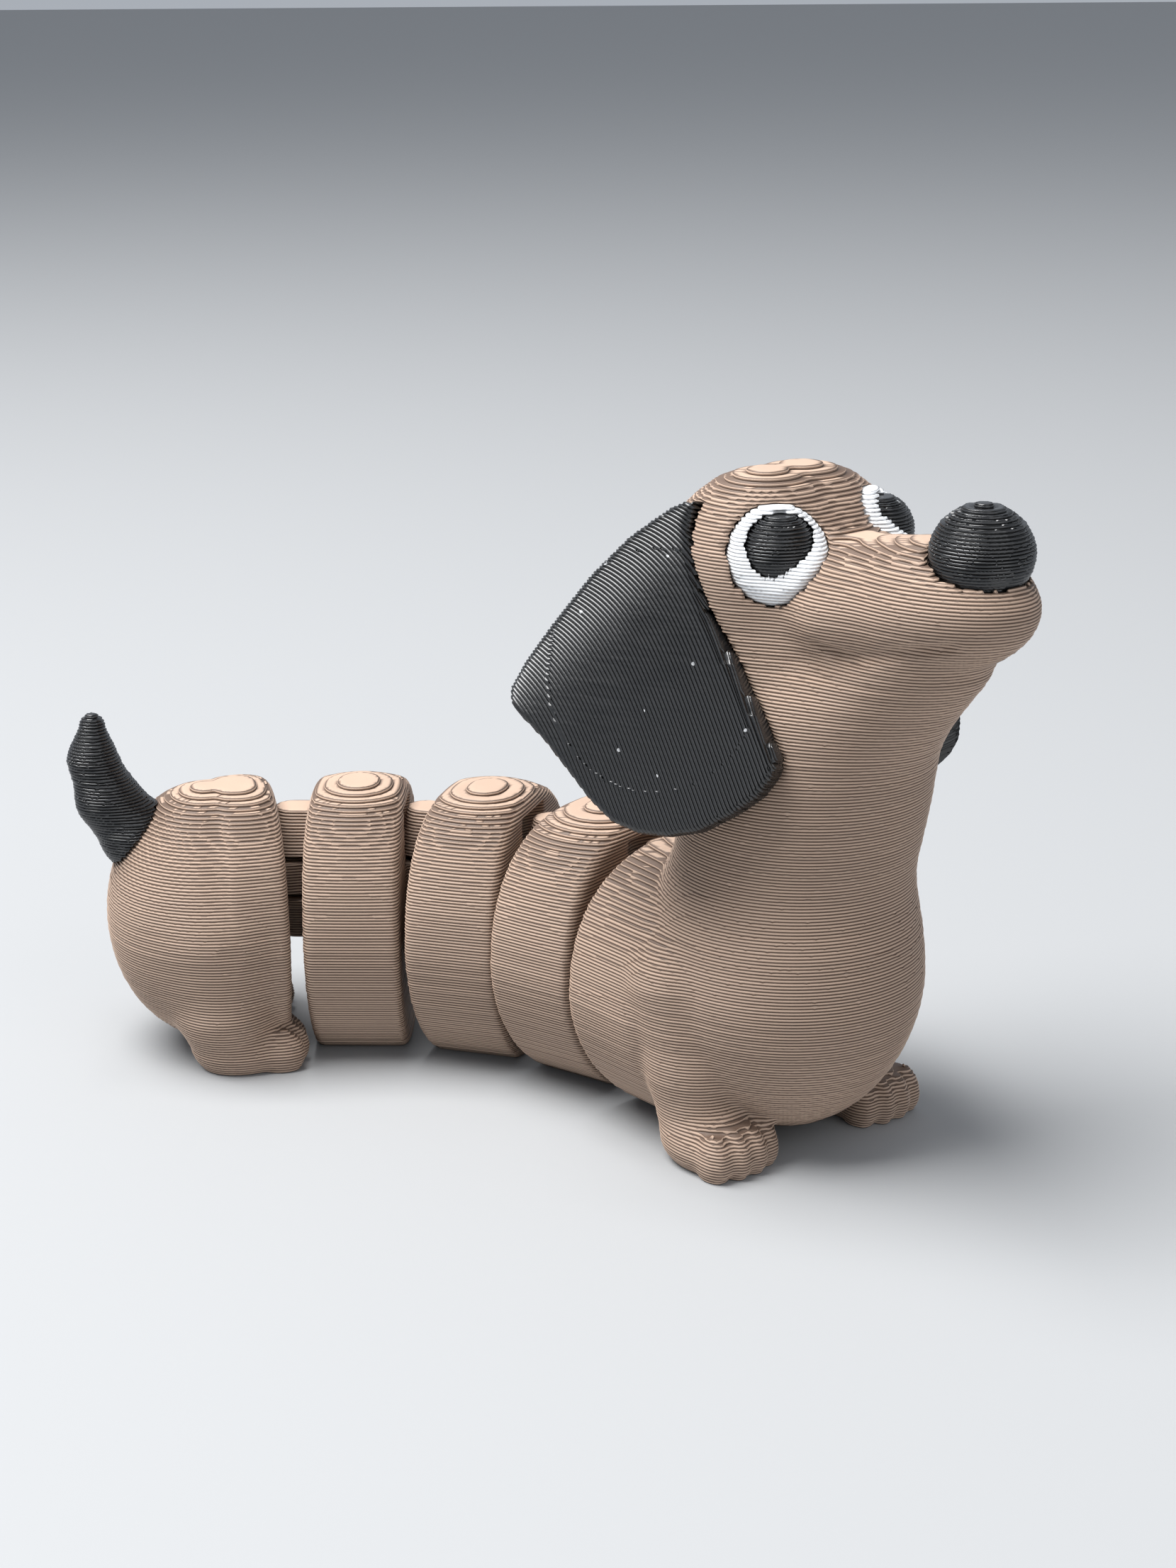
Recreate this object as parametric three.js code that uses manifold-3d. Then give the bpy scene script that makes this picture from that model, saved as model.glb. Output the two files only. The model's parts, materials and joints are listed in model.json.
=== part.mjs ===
// Articulated sausage dog: a print-in-place toy whose body bends sideways on four upright hinges.
// Millimetres, +Z up. The toy stands on z = 0, and its box is centred over the origin.
// Each body piece is modelled with x forwards, y to its own left, and its rear or front face at x = 0.
import * as THREE from 'three';
import { mergeVertices } from 'three/addons/utils/BufferGeometryUtils.js';
import Module from 'manifold-3d';

const wasm = await Module();
wasm.setup();

// ---- Driving dimensions ----
const BODY_HEIGHT = 18.0;          // height of the body section
const WIDEST_HEIGHT = 8.9;         // height at which the section is widest
const SECTION_DIP = 0.8;           // how far the section's lower curve would run below the floor
const TOP_FULLNESS = 2.4;          // exponent of the upper curve
const BOTTOM_FULLNESS = 1.84;      // exponent of the lower curve
const REAR_RADIUS = 7.86;          // half width at the haunches and the rear ring
const MIDDLE_RADIUS = 8.2;
const FRONT_RADIUS = 8.95;
const CHEST_RADIUS = 9.7;          // half width of the ring that the chest grows out of
const RING_LENGTH = 6.4;           // length of one ring along the body
const RIM_DEPTH = 0.55;            // rounding of a ring's rims along the body
const RIM_INSET = 0.8;             // rounding of a ring's rims across the body
const BEND_LIMIT = 18.6;           // degrees that each hinge turns to either side of straight
const REST_BENDS = [14.2, 18.4, 16.0, 13.3];   // degrees, from the chest back to the haunches
const REST_HEADING = -50.2;        // degrees, the way the chest faces

const PIN_RADIUS = 1.2;
const LUG_RADIUS = 2.2;            // round end of the arms and of the eye
const HINGE_CLEARANCE = 0.35;      // running clearance round a hinge
const EYE_LOW = 10.6;              // underside of the eye lug
const EYE_HIGH = 12.8;             // top of the eye lug
const ARM_HEIGHT = 3.1;            // height of each arm of the fork
const LUG_ROOT = 1.6;              // how deep an arm or an eye is rooted in its piece

const SEAT_GAP = 0.3;              // gap between a fitted piece and its seat
const PEG_RADIUS = 1.1;
const PEG_LENGTH = 2.2;
const EAR_THICKNESS = 2.0;
const EAR_HEIGHT = 19.0;
const EAR_WIDTH = 18.1;
const NOSE_RADIUS = 3.15;
const EYE_RADIUS = 3.0;
const PUPIL_RADIUS = 1.8;
const TAIL_RADIUS = 2.4;           // at its root
const SECTION_STEPS = 7;           // points in each quarter of a section
const RIM_STEPS = 3;               // stations in each rounded rim
const ROUND = 14;                  // sides of a round form

// Two faces may turn by the limit before the rounded rim of the smaller one meets the other.
function gapBetween(radius, otherRadius) {
  const reach = Math.min(radius, otherRadius) - RIM_INSET / 2;
  return 2 * reach * Math.tan(THREE.MathUtils.degToRad(BEND_LIMIT / 2));
}

const CHEST_GAP = gapBetween(CHEST_RADIUS, FRONT_RADIUS);
const FRONT_GAP = gapBetween(FRONT_RADIUS, MIDDLE_RADIUS);
const MIDDLE_GAP = gapBetween(MIDDLE_RADIUS, REAR_RADIUS);
const HAUNCH_GAP = gapBetween(REAR_RADIUS, REAR_RADIUS);

const BROWN = { color: 0x8f7565, roughness: 0.62, metalness: 0 };
const BLACK = { color: 0x23252a, roughness: 0.5, metalness: 0 };
const WHITE = { color: 0xe9eaec, roughness: 0.55, metalness: 0 };

// ---- Solids ----
const { degToRad } = THREE.MathUtils;

function toSolid(geometry) {
  const bare = geometry.clone();
  for (const name of Object.keys(bare.attributes)) if (name !== 'position') bare.deleteAttribute(name);
  const merged = mergeVertices(bare, 1e-4);
  return new wasm.Manifold(new wasm.Mesh({
    numProp: 3,
    vertProperties: new Float32Array(merged.attributes.position.array),
    triVerts: new Uint32Array(merged.index.array),
  }));
}

const join = (...solids) => solids.reduce((sum, next) => sum.add(next));
const cut = (solid, ...tools) => tools.reduce((rest, tool) => rest.subtract(tool), solid);

function toMesh(name, solid, finish) {
  const { vertProperties, triVerts } = solid.getMesh();
  const geometry = new THREE.BufferGeometry();
  geometry.setAttribute('position', new THREE.BufferAttribute(vertProperties, 3));
  geometry.setIndex(new THREE.BufferAttribute(triVerts, 1));
  geometry.computeVertexNormals();
  const mesh = new THREE.Mesh(geometry, new THREE.MeshStandardMaterial(finish));
  mesh.name = name;
  return mesh;
}

// An egg-shaped solid; turn is the angle in degrees about the upright axis, tip the nose-up angle.
function egg([x, y, z], [a, b, c], turn = 0, tip = 0, sides = ROUND) {
  const geometry = new THREE.SphereGeometry(1, sides, Math.round(sides * 0.7));
  geometry.rotateX(Math.PI / 2).scale(a, b, c);
  geometry.rotateY(degToRad(-tip)).rotateZ(degToRad(turn)).translate(x, y, z);
  return toSolid(geometry);
}

// A round-ended taper between two centres.
function taper(from, to, startRadius, endRadius, sides = ROUND) {
  const start = new THREE.Vector3(...from);
  const axis = new THREE.Vector3(...to).sub(start);
  const length = axis.length();
  const lean = Math.asin((startRadius - endRadius) / length);
  const profile = [];
  const arcs = Math.round(sides / 4);
  for (let i = 0; i <= arcs; i++) {
    const angle = -Math.PI / 2 + (i / arcs) * (Math.PI / 2 + lean);
    profile.push(new THREE.Vector2(startRadius * Math.cos(angle), startRadius * Math.sin(angle)));
  }
  for (let i = 0; i <= arcs; i++) {
    const angle = lean + (i / arcs) * (Math.PI / 2 - lean);
    profile.push(new THREE.Vector2(endRadius * Math.cos(angle), length + endRadius * Math.sin(angle)));
  }
  profile[0].x = 0;
  profile[profile.length - 1].x = 0;
  const geometry = new THREE.LatheGeometry(profile, sides);
  const turn = new THREE.Quaternion().setFromUnitVectors(new THREE.Vector3(0, 1, 0), axis.normalize());
  return toSolid(geometry.applyQuaternion(turn).translate(...start));
}

// An upright round rod between two heights.
function rod(x, low, high, radius) {
  const geometry = new THREE.CylinderGeometry(radius, radius, high - low, ROUND * 1.5);
  return toSolid(geometry.rotateX(Math.PI / 2).translate(x, 0, (low + high) / 2));
}

const block = (low, high) => toSolid(new THREE.BoxGeometry(...high.map((value, i) => value - low[i]))
  .translate(...high.map((value, i) => (value + low[i]) / 2)));

const belowFloor = () => block([-60, -60, -20], [60, 60, 0]);
const bothSides = (make) => join(make(1), make(-1));

// ---- The body section ----
function sectionHalfWidth(height, radius) {
  const above = height > WIDEST_HEIGHT;
  const reach = above ? BODY_HEIGHT - WIDEST_HEIGHT : WIDEST_HEIGHT + SECTION_DIP;
  const power = above ? TOP_FULLNESS : BOTTOM_FULLNESS;
  const share = Math.min(1, Math.abs(height - WIDEST_HEIGHT) / reach);
  return radius * (1 - share ** power) ** (1 / power);
}

function sectionShape(radius) {
  const side = [];
  for (let i = 0; i <= SECTION_STEPS; i++) {
    const height = WIDEST_HEIGHT * (1 - Math.cos((i / SECTION_STEPS) * Math.PI / 2));
    side.push([sectionHalfWidth(height, radius), height]);
  }
  for (let i = 1; i < SECTION_STEPS; i++) {
    const rise = (BODY_HEIGHT - WIDEST_HEIGHT) * Math.sin((i / SECTION_STEPS) * Math.PI / 2);
    side.push([sectionHalfWidth(WIDEST_HEIGHT + rise, radius), WIDEST_HEIGHT + rise]);
  }
  const right = side.map(([y, z]) => new THREE.Vector2(y, z));
  const left = side.slice().reverse().map(([y, z]) => new THREE.Vector2(-y, z));
  return new THREE.Shape([...right, new THREE.Vector2(0, BODY_HEIGHT), ...left]);
}

// A ring from x = start to x = start + length. Its stations crowd into the rims, which are rounded.
function ring(start, length, radius) {
  const steps = 2 * RIM_STEPS + 1;
  const geometry = new THREE.ExtrudeGeometry(sectionShape(radius),
    { depth: steps, steps, curveSegments: 1, bevelEnabled: false });
  const place = geometry.attributes.position;
  for (let i = 0; i < place.count; i++) {
    const station = Math.round(place.getZ(i));
    const fromRim = Math.min(station, steps - station);
    const angle = (fromRim / RIM_STEPS) * Math.PI / 2;
    const depth = RIM_DEPTH * (1 - Math.cos(angle));
    const share = 1 - (RIM_INSET / radius) * (1 - Math.sin(angle));
    const height = WIDEST_HEIGHT + (place.getY(i) - WIDEST_HEIGHT) * share;
    place.setXYZ(i, start + (station === fromRim ? depth : length - depth), place.getX(i) * share, height);
  }
  return toSolid(geometry);
}

// ---- Hinges ----
// The plan of a lug: a round end about the pivot and a straight root that reaches x = root.
function lug(pivot, root, low, high) {
  const toward = Math.sign(root - pivot);
  const shape = new THREE.Shape();
  shape.moveTo(root, -LUG_RADIUS * toward);
  shape.lineTo(root, LUG_RADIUS * toward);
  shape.lineTo(pivot, LUG_RADIUS * toward);
  shape.absarc(pivot, 0, LUG_RADIUS, toward * Math.PI / 2, toward * Math.PI / 2 + Math.PI, false);
  const geometry = new THREE.ExtrudeGeometry(shape, { depth: high - low, bevelEnabled: false, curveSegments: 10 });
  return toSolid(geometry.translate(0, 0, low));
}

const UPPER_ARM = [EYE_HIGH + HINGE_CLEARANCE, EYE_HIGH + HINGE_CLEARANCE + ARM_HEIGHT];
const LOWER_ARM = [EYE_LOW - HINGE_CLEARANCE - ARM_HEIGHT, EYE_LOW - HINGE_CLEARANCE];

// The fork and its pin stand behind the rear face, x = 0, of a piece.
function withFork(solid, gap) {
  const pivot = -gap / 2;
  const pocket = rod(pivot, EYE_LOW - HINGE_CLEARANCE, EYE_HIGH + HINGE_CLEARANCE, LUG_RADIUS + HINGE_CLEARANCE);
  return join(cut(solid, pocket), lug(pivot, LUG_ROOT, ...UPPER_ARM), lug(pivot, LUG_ROOT, ...LOWER_ARM),
    rod(pivot, LOWER_ARM[1] - 1, UPPER_ARM[0] + 1, PIN_RADIUS));
}

// The eye stands before the front face, x = front, of a piece.
function withEye(solid, front, gap) {
  const pivot = front + gap / 2;
  const pocket = ([low, high]) => rod(pivot, low - HINGE_CLEARANCE, high + HINGE_CLEARANCE,
    LUG_RADIUS + HINGE_CLEARANCE);
  const eye = lug(pivot, front - LUG_ROOT, EYE_LOW, EYE_HIGH);
  const bore = rod(pivot, EYE_LOW - 1, EYE_HIGH + 1, PIN_RADIUS + HINGE_CLEARANCE);
  return cut(join(cut(solid, pocket(UPPER_ARM), pocket(LOWER_ARM)), eye), bore);
}

const segment = (radius, rearGap, frontGap) =>
  withEye(withFork(ring(0, RING_LENGTH, radius), rearGap), RING_LENGTH, frontGap);

// ---- Paws ----
const TOES = [-1.5, -0.5, 0.5, 1.5];

function paw(x, y, halfLength, halfWidth, height) {
  const toe = (place) => egg([x + halfLength * (0.72 - 0.06 * place * place), y + place * halfWidth * 0.45,
    height * 0.34], [halfLength * 0.42, halfWidth * 0.32, height * 0.5], 0, 0, 8);
  return join(egg([x, y, height * 0.4], [halfLength, halfWidth, height * 0.66]), ...TOES.map(toe));
}

// ---- Front body: chest, neck, head, front legs ----
const EYE_PLACE = [12.4, 4.25, 38.3];
const EYE_TURN = 42;               // degrees, outwards from straight ahead
const EYE_TIP = 14;                // degrees, upwards
const EYE_FLATNESS = 0.58;
const PUPIL_PLACE = [13.1, 4.5, 39.1];
const PUPIL_FLATNESS = 0.72;
const NOSE_PLACE = [24.6, 0, 39.45];
const NOSE_FLATNESS = 0.86;

const eyeball = (side, grow = 0) => egg([EYE_PLACE[0], side * EYE_PLACE[1], EYE_PLACE[2]],
  [EYE_RADIUS * EYE_FLATNESS + grow, EYE_RADIUS + grow, EYE_RADIUS + 0.2 + grow], side * EYE_TURN, EYE_TIP);
const pupilBall = (side, grow = 0) => egg([PUPIL_PLACE[0], side * PUPIL_PLACE[1], PUPIL_PLACE[2]],
  [PUPIL_RADIUS * PUPIL_FLATNESS + grow, PUPIL_RADIUS + grow, PUPIL_RADIUS + grow],
  side * EYE_TURN, EYE_TIP, 12);
const noseBall = (grow = 0) => egg(NOSE_PLACE,
  [NOSE_RADIUS + grow, NOSE_RADIUS + grow, NOSE_RADIUS * NOSE_FLATNESS + grow]);

function torso() {
  return join(
    ring(0, 7.4, CHEST_RADIUS),
    egg([9.4, 0, 10.6], [8.2, 8.4, 9.7]),
    taper([9.4, 0, 12], [11.9, 0, 27], 7.9, 6.1),
    bothSides((side) => taper([7.0, side * 6.2, 11], [7.8, side * 6.4, 6], 3.9, 3.2)),
    bothSides((side) => taper([7.8, side * 6.4, 6], [8.6, side * 6.6, 2], 3.1, 2.6)),
    bothSides((side) => paw(9.9, side * 6.6, 3.3, 2.9, 3.4)),
  );
}

function head() {
  return join(
    egg([9.6, 0, 34.6], [8.2, 6.7, 7.3], 0, 6),
    egg([12.2, 0, 38.2], [4.4, 4.0, 4.1], 0, 4),
    egg([16.5, 0, 35.2], [4.4, 5.4, 3.8]),
    egg([20.5, 0, 35.6], [7.6, 4.9, 4.0], 0, 12),
    taper([18.6, 0, 34], [12.8, 0, 25], 4.9, 6.3),
    taper([8.4, 0, 31], [11.2, 0, 24], 6.6, 6.5),
  );
}

function frontBody() {
  const solid = cut(withFork(join(torso(), head()), CHEST_GAP), noseBall(SEAT_GAP), belowFloor());
  return cut(solid, ...[1, -1].flatMap((side) => [
    eyeball(side, SEAT_GAP), pupilBall(side, SEAT_GAP), earPlate(side, SEAT_GAP), earPeg(side, SEAT_GAP)]));
}

// ---- Ears ----
const EAR_TOP = [8.2, 6.7, 40.9];
const EAR_TURN = 19;               // degrees, the rear edge stands away from the head
const EAR_LEAN = 16;               // degrees, the lower edge stands away from the neck
const EAR_BEVEL = 0.6;

// The leaf outline: u forwards, v up, from its top corner, with the rear, lower and front corners.
function earShape() {
  const front = EAR_WIDTH * 0.42;
  const rear = EAR_WIDTH - front;
  const shape = new THREE.Shape();
  shape.moveTo(-1.2, -0.4);
  shape.quadraticCurveTo(1.4, -0.6, 2.2, -3.6);
  shape.quadraticCurveTo(4.6, -EAR_HEIGHT * 0.5, front, -EAR_HEIGHT * 0.72);
  shape.bezierCurveTo(front + 0.5, -EAR_HEIGHT * 0.84, front * 0.8, -EAR_HEIGHT, front * 0.2, -EAR_HEIGHT);
  shape.bezierCurveTo(-front * 0.4, -EAR_HEIGHT, -front, -EAR_HEIGHT * 0.8, -rear, -EAR_HEIGHT * 0.67);
  shape.quadraticCurveTo(-rear - 0.6, -EAR_HEIGHT * 0.62, -rear + 0.3, -EAR_HEIGHT * 0.54);
  shape.bezierCurveTo(-rear * 0.7, -EAR_HEIGHT * 0.28, -rear * 0.4, -2, -1.2, -0.4);
  return shape;
}

// Moves a shape drawn in the ear's own plane, with its outer face at w = 0, to its side of the head.
function placeEar(geometry, side) {
  const turned = geometry.rotateX(Math.PI / 2).rotateX(degToRad(-EAR_LEAN)).rotateZ(degToRad(EAR_TURN));
  turned.translate(EAR_TOP[0], -EAR_TOP[1], EAR_TOP[2]);
  const solid = toSolid(turned);
  return side < 0 ? solid : solid.mirror([0, 1, 0]);
}

function earPlate(side, grow = 0) {
  const geometry = new THREE.ExtrudeGeometry(earShape(), {
    depth: EAR_THICKNESS - 2 * EAR_BEVEL, curveSegments: 7, bevelEnabled: true,
    bevelThickness: EAR_BEVEL + grow, bevelSize: EAR_BEVEL, bevelOffset: grow - EAR_BEVEL, bevelSegments: 2,
  });
  return placeEar(geometry.translate(0, 0, -EAR_THICKNESS + EAR_BEVEL), side);
}

function earPeg(side, grow = 0) {
  const length = PEG_LENGTH + grow + 0.5;
  const geometry = new THREE.CylinderGeometry(PEG_RADIUS + grow, PEG_RADIUS + grow, length, ROUND);
  geometry.rotateX(Math.PI / 2).translate(-0.6, -4.4, -EAR_THICKNESS + 0.5 - length / 2);
  return placeEar(geometry, side);
}

// ---- Rear body and tail ----
const TAIL_PATH = [[-7.6, 0, 13.2], [-9.3, 0, 15], [-11.3, 0, 17.6], [-12, 0, 20.3], [-11.7, 0, 22.6]];
const TAIL_TAPER = [1.0, 0.96, 0.81, 0.62, 0.32];

function rearHull() {
  return cut(join(
    ring(-5.4, 5.4, REAR_RADIUS),
    egg([-5, 0, 9.5], [6.2, 7.8, 8.5]),
    bothSides((side) => taper([-4.3, side * 4.2, 8.5], [-4.2, side * 4.9, 4], 4.1, 3.2)),
    bothSides((side) => taper([-4.2, side * 4.9, 4], [-3.8, side * 4.8, 1.8], 3.0, 2.7)),
    bothSides((side) => paw(-2.9, side * 4.7, 3.6, 2.9, 3.3)),
  ), belowFloor());
}

function tailHorn() {
  const parts = TAIL_PATH.slice(1).map((place, i) => taper(TAIL_PATH[i], place,
    TAIL_RADIUS * TAIL_TAPER[i], TAIL_RADIUS * TAIL_TAPER[i + 1]));
  return join(...parts);
}

const tailPeg = (grow) => taper([-10.4, 0, 15.4], [-6.6, 0, 11.0], PEG_RADIUS + grow, PEG_RADIUS + grow);

function tailAndRear() {
  const hull = rearHull();
  const tail = join(cut(tailHorn(), hull.translate([-SEAT_GAP * 0.75, 0, SEAT_GAP * 0.75])), tailPeg(0));
  return { tail, rear: withEye(cut(hull, tailPeg(SEAT_GAP)), 0, HAUNCH_GAP) };
}

// ---- Assembly ----
function hingedGroup(parent, bend, gap, back) {
  const group = new THREE.Group();
  group.position.set(-gap / 2, 0, 0);
  group.rotation.z = degToRad(bend);
  parent.add(group);
  const body = new THREE.Group();
  body.position.set(-gap / 2 - back, 0, 0);
  group.add(body);
  return body;
}

const dog = new THREE.Group();
const chest = new THREE.Group();
chest.rotation.z = degToRad(REST_HEADING);
dog.add(chest);

chest.add(toMesh('front_body', frontBody(), BROWN), toMesh('nose', noseBall(), BLACK));
for (const [word, side] of [['left', 1], ['right', -1]]) {
  chest.add(
    toMesh(`ear_${word}`, join(earPlate(side), earPeg(side)), BLACK),
    toMesh(`eye_${word}`, cut(eyeball(side), pupilBall(side, SEAT_GAP)), WHITE),
    toMesh(`pupil_${word}`, pupilBall(side), BLACK),
  );
}

let last = chest;
const rings = [
  ['segment_front', FRONT_RADIUS, CHEST_GAP, FRONT_GAP],
  ['segment_middle', MIDDLE_RADIUS, FRONT_GAP, MIDDLE_GAP],
  ['segment_rear', REAR_RADIUS, MIDDLE_GAP, HAUNCH_GAP],
];
rings.forEach(([name, radius, frontGap, rearGap], i) => {
  last = hingedGroup(last, REST_BENDS[i], frontGap, RING_LENGTH);
  last.add(toMesh(name, segment(radius, rearGap, frontGap), BROWN));
});
const haunches = hingedGroup(last, REST_BENDS[3], HAUNCH_GAP, 0);
const { tail, rear } = tailAndRear();
haunches.add(toMesh('rear_body', rear, BROWN), toMesh('tail', tail, BLACK));

dog.updateMatrixWorld(true);
const centre = new THREE.Box3().setFromObject(dog, true).getCenter(new THREE.Vector3());
dog.position.set(-centre.x, -centre.y, 0);
dog.updateMatrixWorld(true);

export default dog;
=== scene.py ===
"""Articulated sausage dog, a print-in-place toy: the layered plastic surface of every piece.

Each piece is described by a distance field in millimetres, cut into printed layers and meshed one
bead at a time, so the layer lines are real steps. Geometry Nodes press the grooves between beads.
The stance of every body piece comes from the hinges.
"""
import json
import logging
import math
from dataclasses import dataclass, field
from enum import Enum
from typing import Callable

import bpy
import numpy as np
from mathutils import Matrix, Vector


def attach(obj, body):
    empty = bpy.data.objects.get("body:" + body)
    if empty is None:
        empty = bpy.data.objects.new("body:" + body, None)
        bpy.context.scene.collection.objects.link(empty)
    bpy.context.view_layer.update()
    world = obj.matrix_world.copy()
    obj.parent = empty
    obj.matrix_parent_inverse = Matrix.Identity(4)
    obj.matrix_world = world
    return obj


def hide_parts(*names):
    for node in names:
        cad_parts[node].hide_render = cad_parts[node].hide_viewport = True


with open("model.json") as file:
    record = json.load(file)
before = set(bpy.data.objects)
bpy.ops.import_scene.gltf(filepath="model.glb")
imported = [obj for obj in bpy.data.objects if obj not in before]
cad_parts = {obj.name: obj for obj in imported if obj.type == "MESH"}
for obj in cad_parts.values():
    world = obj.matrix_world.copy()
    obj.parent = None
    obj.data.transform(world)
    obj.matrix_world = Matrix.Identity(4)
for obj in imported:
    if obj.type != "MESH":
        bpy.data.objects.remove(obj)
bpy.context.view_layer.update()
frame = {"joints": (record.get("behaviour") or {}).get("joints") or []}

log = logging.getLogger("sausage_dog")

MM = 0.001
LAYER = 0.2                     # height of one printed layer, mm
EAR_LAYER = 0.235               # the same for the ears, mm
FIT = 0.06                      # gap round a fitted piece, mm
NEAR_ZERO = 1e-9                # keeps a division by a vanishing slope from failing
LEVEL = 1e-12                   # an outline's edge that rises less than this is level

Field = Callable[[np.ndarray], np.ndarray]
Triple = tuple[float, float, float]


class Side(Enum):
    """The two sides of the dog, as the sign of its own y."""

    LEFT = 1
    RIGHT = -1


class Layering(Enum):
    """The way a piece lay while it was printed."""

    UPRIGHT = "upright"
    ALONG_LEAF = "along the leaf"


# ---- Distance fields: points are rows of x, y, z in millimetres, inside is negative ----
def egg(points: np.ndarray, centre: Triple, radii: Triple, turn: float = 0.0, tip: float = 0.0) -> np.ndarray:
    """An egg-shaped solid.

    Args:
        points: Where to measure.
        centre: Middle of the egg.
        radii: Half its length, width and height.
        turn: Degrees that its length is turned to the left.
        tip: Degrees that its length is tipped up.

    Returns:
        The distance at each point.
    """
    x, y, z = (points - np.array(centre)).T
    turning, tipping = math.radians(turn), math.radians(tip)
    ahead = x * math.cos(turning) + y * math.sin(turning)
    aside = y * math.cos(turning) - x * math.sin(turning)
    length = ahead * math.cos(tipping) + z * math.sin(tipping)
    height = z * math.cos(tipping) - ahead * math.sin(tipping)
    a, b, c = radii
    near = np.sqrt((length / a) ** 2 + (aside / b) ** 2 + (height / c) ** 2)
    slope = np.sqrt((length / a**2) ** 2 + (aside / b**2) ** 2 + (height / c**2) ** 2)
    return near * (near - 1) / np.maximum(slope, NEAR_ZERO)


def taper(points: np.ndarray, start: Triple, end: Triple, start_radius: float,
          end_radius: float) -> np.ndarray:
    """A round-ended taper between two centres.

    Args:
        points: Where to measure.
        start: Centre of the first round end.
        end: Centre of the second round end.
        start_radius: Radius at the start.
        end_radius: Radius at the end.

    Returns:
        The distance at each point.
    """
    first = np.array(start)
    axis = np.array(end) - first
    along = np.clip((points - first) @ axis / (axis @ axis), 0, 1)
    offset = points - first - along[:, None] * axis
    return np.sqrt((offset * offset).sum(1)) - (start_radius + (end_radius - start_radius) * along)


def rod(points: np.ndarray, x: float, low: float, high: float, radius: float) -> np.ndarray:
    """An upright round rod between two heights."""
    around = np.hypot(points[:, 0] - x, points[:, 1]) - radius
    return np.maximum(around, np.maximum(low - points[:, 2], points[:, 2] - high))


def lug(points: np.ndarray, pivot: float, root: float, low: float, high: float,
        radius: float | np.ndarray) -> np.ndarray:
    """A flat lug with a round end about the pivot and a straight root."""
    nearest = np.clip(points[:, 0], min(pivot, root), max(pivot, root))
    plan = np.hypot(points[:, 0] - nearest, points[:, 1]) - radius
    plan = np.maximum(plan, (points[:, 0] - root) * math.copysign(1, root - pivot))
    return np.maximum(plan, np.maximum(low - points[:, 2], points[:, 2] - high))


def melt(first: np.ndarray, second: np.ndarray, width: float) -> np.ndarray:
    """Joins two fields with a fillet of about the given width."""
    share = np.maximum(width - np.abs(first - second), 0) / width
    return np.minimum(first, second) - share * share * width / 4


def trim(first: np.ndarray, second: np.ndarray, width: float) -> np.ndarray:
    """Keeps what lies in both fields, with a rounding of about the given width."""
    return -melt(-first, -second, width)


def folded(points: np.ndarray) -> np.ndarray:
    """The points folded onto the left side, for what the dog has on both sides."""
    both = points.copy()
    both[:, 1] = np.abs(both[:, 1])
    return both


def outline_distance(points: np.ndarray, outline: np.ndarray) -> np.ndarray:
    """Distance to a closed outline in a plane, negative inside.

    Args:
        points: Rows of two coordinates.
        outline: The corners of the closed outline, in order.

    Returns:
        The distance at each point.
    """
    nearest = np.full(len(points), np.inf)
    inside = np.zeros(len(points), bool)
    for corner, following in zip(outline, np.roll(outline, -1, axis=0)):
        edge = following - corner
        along = np.clip((points - corner) @ edge / (edge @ edge), 0, 1)
        offset = points - corner - along[:, None] * edge
        nearest = np.minimum(nearest, (offset * offset).sum(1))
        crosses = (corner[1] > points[:, 1]) != (following[1] > points[:, 1])
        if abs(edge[1]) > LEVEL:
            inside ^= crosses & (points[:, 0] < corner[0] + (points[:, 1] - corner[1]) / edge[1] * edge[0])
    return np.sqrt(nearest) * np.where(inside, -1, 1)


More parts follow.
